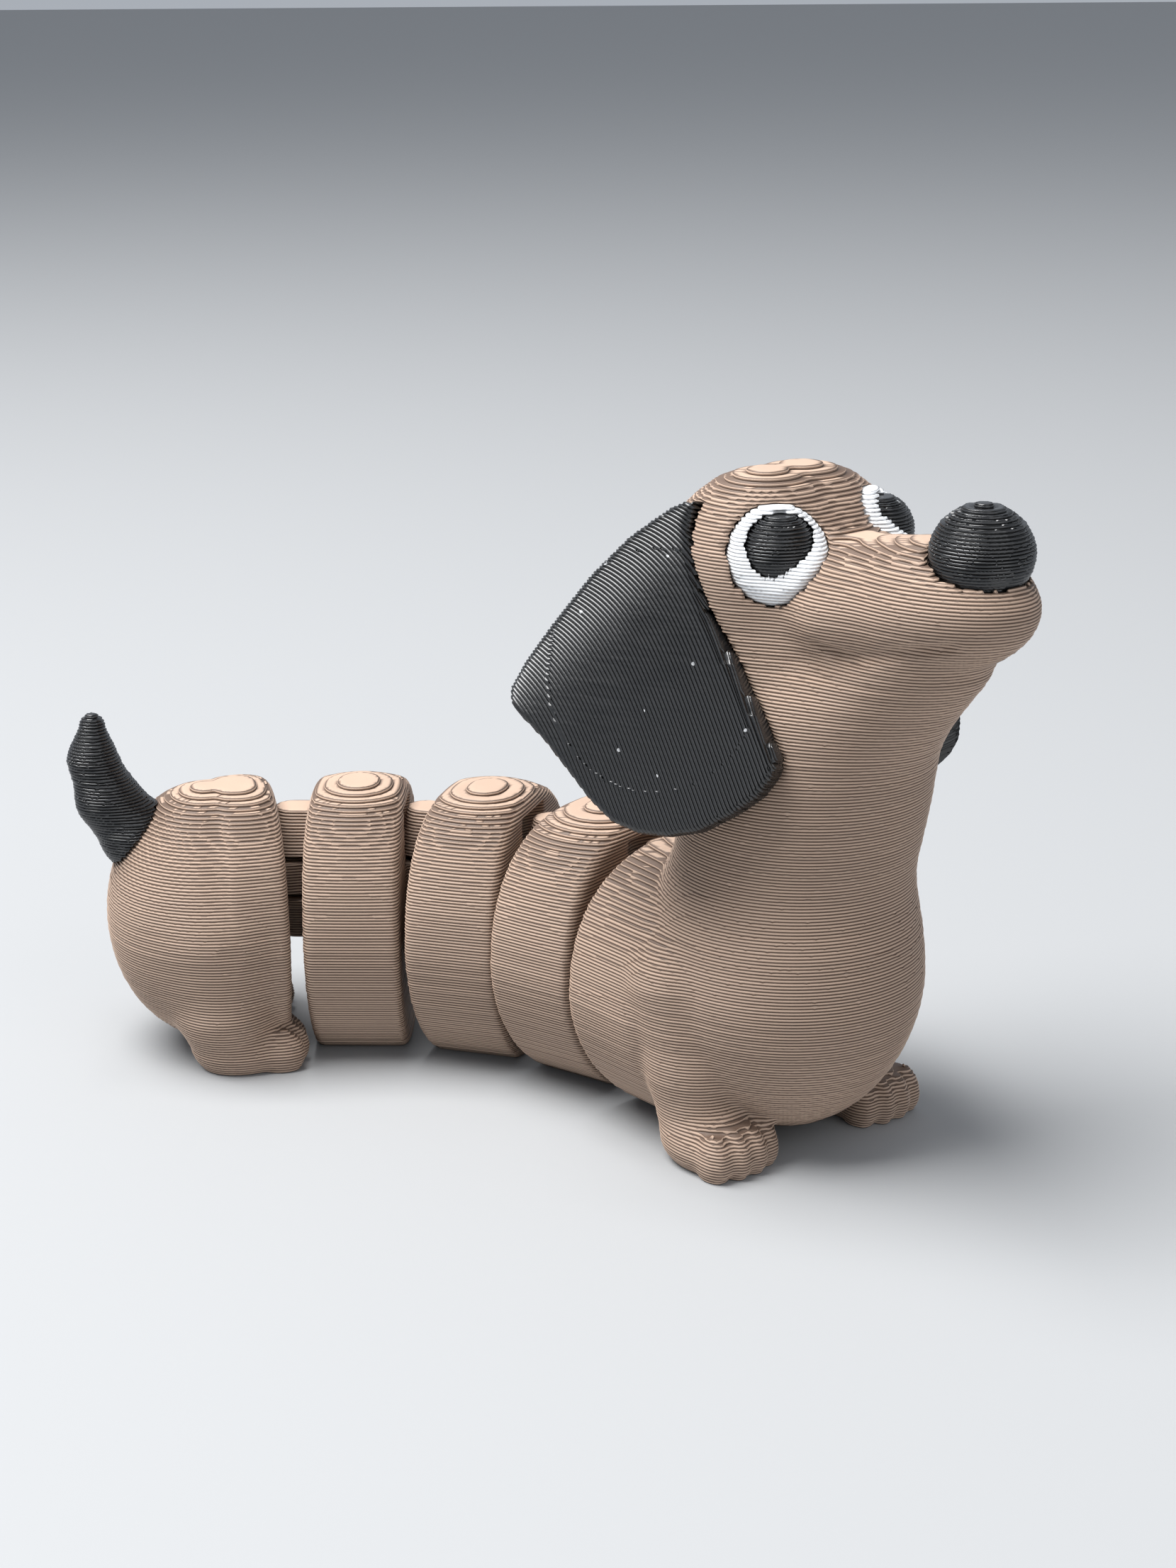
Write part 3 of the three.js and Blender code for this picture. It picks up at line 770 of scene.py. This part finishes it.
@dataclass
class Head:
    """The head's hull, and the eyes, pupils, nose and ears that are fitted to it."""

    eye_place: Triple = (12.6, 4.0, 38.0)
    eye_radii: Triple = (3.4, 2.85, 2.95)
    eye_proud: float = 0.3          # how far it stands out of the head
    eye_depth: float = 2.4          # how far it reaches into the head
    pupil_place: Triple = (13.0, 4.1, 38.45)
    pupil_radii: Triple = (1.9, 2.2, 2.05)
    turn: float = 20.0              # degrees that an eye faces outwards
    tip: float = 14.0               # degrees that it faces up
    nose_place: Triple = (24.6, 0.0, 39.6)
    nose_radii: Triple = (2.95, 2.95, 2.75)
    mouth: tuple[Triple, ...] = (   # along the crease, from its rear end
        (16.8, 4.95, 33.6), (17.8, 4.7, 33.35), (19.1, 4.55, 33.3), (20.6, 4.5, 33.6),
        (22.4, 4.3, 34.1), (24.0, 3.85, 34.5), (25.5, 3.15, 34.8))
    mouth_depth: float = 0.42       # radius of the crease, mm
    mouth_softness: float = 0.6     # fillet between the muzzle and the jaw under it, mm
    ear_top: Triple = (8.2, 6.7, 40.9)
    ear_turn: float = 19.0          # degrees, the rear edge stands away from the head
    ear_lean: float = 16.0          # degrees, the lower edge stands away from the neck
    ear_outline: tuple[tuple[float, float], ...] = (      # forwards and up, from its top corner
        (0.1, 0.0), (0.1, -1.6), (0.8, -3.7), (2.1, -6.5), (3.8, -8.8), (5.4, -11.0), (6.9, -13.2),
        (7.4, -14.0), (7.4, -14.8), (6.6, -16.2), (5.1, -17.5), (3.1, -18.8), (1.1, -19.4), (-0.8, -19.5),
        (-2.6, -19.1), (-4.2, -18.1), (-5.6, -16.9), (-7.8, -15.1), (-10.1, -13.6), (-10.6, -13.0),
        (-10.7, -12.2), (-9.9, -10.5), (-8.4, -8.1), (-6.2, -4.9), (-4.0, -2.4), (-1.8, -0.6), (-0.7, 0.0))
    ear_thickness: float = 2.0
    ear_rounding: float = 0.6       # of its edges, mm
    ear_dome: float = 0.003         # how fast it curves inwards away from its middle, per mm

    def hull(self, points: np.ndarray) -> np.ndarray:
        """The skull, the brow, the muzzle and the throat."""
        skull = melt(egg(points, (8.6, 0, 34.5), (7.0, 6.9, 7.1)),
                     egg(folded(points), (9.3, 2.5, 37.5), (4.3, 4.2, 3.9)), 3.4)
        muzzle = melt(egg(points, (20.5, 0, 35.9), (7.5, 4.8, 3.9), tip=7),
                      egg(points, (16.5, 0, 35.2), (4.0, 5.4, 3.6)), 1.5)
        throat = taper(points, (20.6, 0, 33.8), (11.9, 0, 25.2), 4.15, 5.4)
        nape = taper(points, (8.4, 0, 31), (11.2, 0, 24), 6.5, 6.4)
        head = melt(melt(melt(skull, muzzle, 2.1), throat, self.mouth_softness), nape, 2.5)
        for start, end in zip(self.mouth, self.mouth[1:]):
            head = trim(head, -taper(folded(points), start, end, self.mouth_depth, self.mouth_depth), 0.3)
        return head

    def nose(self, points: np.ndarray) -> np.ndarray:
        """The nose."""
        return egg(points, self.nose_place, self.nose_radii)

    def pupil(self, points: np.ndarray) -> np.ndarray:
        """Both pupils."""
        return egg(folded(points), self.pupil_place, self.pupil_radii, self.turn, self.tip)

    def eyeball(self, points: np.ndarray) -> np.ndarray:
        """Both eyes, whole: an oval plug that follows the head a little proud of it."""
        plug = egg(folded(points), self.eye_place, self.eye_radii, self.turn, self.tip)
        head = self.hull(points)
        return trim(plug, np.maximum(head - self.eye_proud, -head - self.eye_depth), 0.5)

    def eye(self, points: np.ndarray) -> np.ndarray:
        """Both eyes, with the seats of their pupils."""
        return np.maximum(self.eyeball(points), FIT - self.pupil(points))

    def leaf(self, points: np.ndarray) -> np.ndarray:
        """The ear in its own plane: forwards, up, and inwards from its outer face."""
        rounding = self.ear_rounding
        edge = outline_distance(points[:, :2], np.array(self.ear_outline))
        spread = (points[:, 0] + 1) ** 2 + (points[:, 1] + 10) ** 2
        middle = self.ear_thickness / 2
        through = np.abs(points[:, 2] - middle - self.ear_dome * spread) - middle
        over, past = np.maximum(edge + rounding, 0), np.maximum(through + rounding, 0)
        return np.where((over > 0) & (past > 0), np.hypot(over, past) - rounding, np.maximum(edge, through))

    def on_leaf(self, points: np.ndarray) -> np.ndarray:
        """Finds the places in the ear's own plane of points beside the head."""
        x, y, z = (folded(points) - np.array(self.ear_top)).T
        turn, lean = math.radians(self.ear_turn), math.radians(self.ear_lean)
        ahead = x * math.cos(turn) - y * math.sin(turn)
        aside = x * math.sin(turn) + y * math.cos(turn)
        return np.stack([ahead, z * math.cos(lean) - aside * math.sin(lean),
                         -aside * math.cos(lean) - z * math.sin(lean)], -1)

    def off_leaf(self, points: np.ndarray, side: Side) -> np.ndarray:
        """Moves points of the ear's own plane to one side of the head."""
        turn, lean = math.radians(self.ear_turn), math.radians(self.ear_lean)
        ahead, up, inwards = points.T
        aside = -up * math.sin(lean) - inwards * math.cos(lean)
        z = up * math.cos(lean) - inwards * math.sin(lean)
        x = ahead * math.cos(turn) + aside * math.sin(turn)
        y = aside * math.cos(turn) - ahead * math.sin(turn)
        top = self.ear_top
        return np.stack([top[0] + x, side.value * (top[1] + y), top[2] + z], -1)

    def cut_seats(self, points: np.ndarray, solid: np.ndarray) -> np.ndarray:
        """Cuts the seats of all the fitted pieces out of the head."""
        ears = self.leaf(self.on_leaf(points))
        for fitted in (self.eyeball(points), self.pupil(points), self.nose(points), ears):
            solid = np.maximum(solid, FIT - fitted)
        return solid

    def build(self, shop: Workshop, stance: Stance) -> None:
        """Prints the eyes, pupils, nose and ears."""
        shop.make("nose", self.nose, Print((20.5, -4, 36), (28.5, 4, 42.8), 0.15), stance, BLACK, "chest")
        for side in Side:
            word = side.name.lower()
            inner, outer = sorted((side.value * 0.6, side.value * 9.0))
            eye_block = Print((8.5, inner, 34), (17.5, outer, 42), 0.15)
            pupil_block = Print((10, inner, 36.4), (17, outer, 41.4), 0.12)
            shop.make(f"eye_{word}", self.eye, eye_block, stance, WHITE, "chest")
            shop.make(f"pupil_{word}", self.pupil, pupil_block, stance, BLACK, "chest")
            self._build_ear(shop, stance, side)

    def _build_ear(self, shop: Workshop, stance: Stance, side: Side) -> None:
        """Prints one ear, with its layers along the leaf."""
        block = Print((-2.5, -0.6, -15.0), (19.6, 3.8, 8.0), 0.25, wobble=0.0, seed=21,
                      layering=Layering.ALONG_LEAF, layer=EAR_LAYER)
        shop.make(f"ear_{side.name.lower()}", self.leaf, block, stance, BLACK, "chest",
                  put=lambda points: self.off_leaf(points, side))


@dataclass
class FrontBody:
    """The chest ring, chest, neck, head and front legs, printed in one."""

    head: Head
    ring_length: float = 7.4        # of the chest ring, mm
    beyond: float = 30.0            # further ahead than the piece reaches, mm
    shoulder: Triple = (7.4, 5.9, 11)
    elbow: Triple = (8.2, 6.0, 6)
    wrist: Triple = (9.0, 6.2, 2)
    cell: float = 0.365             # coarser than the rest, which keeps its triangles under 200,000

    def shape(self, shop: Workshop, chain: Chain) -> Field:
        """The whole piece as a distance field."""
        def solid(points: np.ndarray) -> np.ndarray:
            """The chest ring, then the chest, legs and head that grow out of it."""
            both = folded(points)
            body = shop.section.slice(points, 0, self.beyond, chain.radii[0])
            body = trim(body, points[:, 0] - self.ring_length, 2.0)
            chest = melt(egg(points, (9.5, 0, 10.6), (8.4, 8.0, 9.7)),
                         taper(points, (9.4, 0, 12), (11.9, 0, 27), 7.9, 6.1), 3.0)
            chest = melt(chest, taper(both, self.shoulder, self.elbow, 4.0, 3.2), 0.5)
            body = melt(body, chest, 0.3)
            body = melt(body, taper(both, self.elbow, self.wrist, 3.1, 2.6), 0.6)
            body = melt(body, paw(both, 10.2, 6.2, 3.3, 2.9, 3.4), 0.7)
            body = melt(body, self.head.hull(points), 4.0)
            return shop.hinge.with_fork(points, self.head.cut_seats(points, body), chain.gap(0))
        return solid

    def build(self, shop: Workshop, chain: Chain) -> None:
        """Prints the piece and all that is fitted to its head."""
        block = Print((-4.2, -10.4, 0), (31.0, 10.4, 43.4), self.cell)
        shop.make("front_body", self.shape(shop, chain), block, chain.chest(), BROWN, "chest")
        self.head.build(shop, chain.chest())


@dataclass
class Haunches:
    """The rear body with its hind legs, and the tail that is fitted to it."""

    radius: float
    rump_front: float = -1.6        # the rump ends here, so that it stays clear of the hinge's gap, mm
    hip: Triple = (-4.3, 4.2, 8.5)
    knee: Triple = (-4.2, 4.9, 4)
    ankle: Triple = (-3.8, 4.8, 1.8)
    tail_places: tuple[Triple, ...] = ((-7.6, 0, 13.2), (-9.2, 0, 15.0), (-11.0, 0, 17.6),
                                       (-11.8, 0, 20.3), (-11.7, 0, 22.6))
    tail_radii: tuple[float, ...] = (2.3, 2.2, 1.85, 1.4, 0.85)

    def hull(self, section: Section, points: np.ndarray) -> np.ndarray:
        """The rump, thighs and hind paws."""
        both = folded(points)
        body = section.slice(points, -4.0, 0, self.radius)
        rump = trim(egg(points, (-4.6, 0, 9.3), (6.9, 7.9, 8.7)), points[:, 0] - self.rump_front, 1.0)
        body = melt(body, rump, 1.0)
        body = melt(body, taper(both, self.hip, self.knee, 4.1, 3.2), 1.2)
        body = melt(body, taper(both, self.knee, self.ankle, 3.0, 2.7), 0.8)
        return melt(body, paw(both, -2.9, 4.7, 3.6, 2.9, 3.3), 0.6)

    def tail(self, section: Section, points: np.ndarray) -> np.ndarray:
        """The tail: a tapered horn that curves up, seated on the rump."""
        horn = np.full(len(points), 9.0)
        for i in range(len(self.tail_places) - 1):
            horn = melt(horn, taper(points, *self.tail_places[i:i + 2], *self.tail_radii[i:i + 2]), 1.2)
        return np.maximum(horn, FIT - self.hull(section, points))

    def build(self, shop: Workshop, chain: Chain) -> None:
        """Prints the rear body and the tail."""
        section, stance = shop.section, chain.haunches()

        def shape(points: np.ndarray) -> np.ndarray:
            """The rear body with its eye."""
            return shop.hinge.with_eye(points, self.hull(section, points), 0, chain.gap(3))

        block = Print((-12.6, -8.6, 0), (4.2, 8.6, 18.8), 0.25)
        shop.make("rear_body", shape, block, stance, BROWN, "haunches")
        shop.make("tail", lambda points: self.tail(section, points),
                  Print((-14.6, -3, 10), (-5, 3, 24), 0.15), stance, BLACK, "haunches")


@dataclass
class Studio:
    """The floor, the lights and the camera."""

    chest: Stance
    camera_offset: Triple = (-5.864, -166.41, 73.52)      # from the chest's origin, mm
    camera_drop: float = 17.672     # degrees below level
    camera_roll: float = -0.4
    lens: float = 63.44
    floor_size: float = 4.0         # m
    floor_colour: Triple = (0.36, 0.365, 0.37)
    sky_colour: Triple = (0.80, 0.86, 0.95)
    sky_strength: float = 0.5

    def floor(self) -> None:
        """Lays the plain floor."""
        bpy.ops.mesh.primitive_plane_add(size=self.floor_size, location=(0, 0, 0))
        floor = bpy.context.object
        floor.name = "floor"
        paint = bpy.data.materials.new("pale_floor")
        paint.use_nodes = True
        shader = paint.node_tree.nodes["Principled BSDF"]
        shader.inputs["Base Color"].default_value = (*self.floor_colour, 1)
        shader.inputs["Roughness"].default_value = 0.7
        floor.data.materials.append(paint)

    def lamp(self, name: str, place: Triple, aim: Triple, size: float, power: float) -> None:
        """Hangs a soft square lamp that faces a point."""
        light = bpy.data.lights.new(name, "AREA")
        light.size = size
        light.energy = power
        lamp = bpy.data.objects.new(name, light)
        bpy.context.scene.collection.objects.link(lamp)
        lamp.location = place
        direction = (np.array(aim) - np.array(place)).tolist()
        lamp.rotation_euler = Vector(direction).to_track_quat("-Z", "Y").to_euler()

    def build(self) -> None:
        """Sets up everything round the toy."""
        self.floor()
        self.lamp("window", (-0.20, -0.02, 0.50), (0, 0, 0.01), 0.40, 6.4)
        self.lamp("fill", (0.35, -0.45, 0.30), (0, 0, 0.02), 0.5, 0.8)
        world = bpy.data.worlds.new("studio")
        world.use_nodes = True
        sky = world.node_tree.nodes["Background"]
        sky.inputs["Color"].default_value = (*self.sky_colour, 1)
        sky.inputs["Strength"].default_value = self.sky_strength
        bpy.context.scene.world = world
        camera = bpy.data.cameras.new("camera")
        camera.lens = self.lens
        camera.clip_start = 0.01
        holder = bpy.data.objects.new("camera", camera)
        bpy.context.scene.collection.objects.link(holder)
        x, y, z = self.camera_offset
        holder.location = ((self.chest.x + x) * MM, (self.chest.y + y) * MM, z * MM)
        aim = Matrix.Rotation(math.radians(90 - self.camera_drop), 3, "X")
        holder.rotation_euler = (aim @ Matrix.Rotation(math.radians(self.camera_roll), 3, "Z")).to_euler()
        bpy.context.scene.camera = holder
        bpy.context.scene.view_settings.view_transform = "Standard"


RINGS = (("segment_front", "front_ring"), ("segment_middle", "middle_ring"), ("segment_rear", "rear_ring"))


def main() -> None:
    """Builds the toy from its chest back, then the studio."""
    logging.basicConfig(level=logging.INFO, format="%(name)s %(message)s")
    section = Section()
    chain = Chain((9.7, 8.95, 8.2, 7.86, 7.86), section.rim_inset)
    shop = Workshop(section, Hinge())
    Studio(chain.chest()).build()
    FrontBody(Head()).build(shop, chain)
    for number, (name, body) in enumerate(RINGS):
        Ring(name, body, number).build(shop, chain)
    Haunches(chain.radii[-1]).build(shop, chain)


if __name__ == "__main__":
    main()
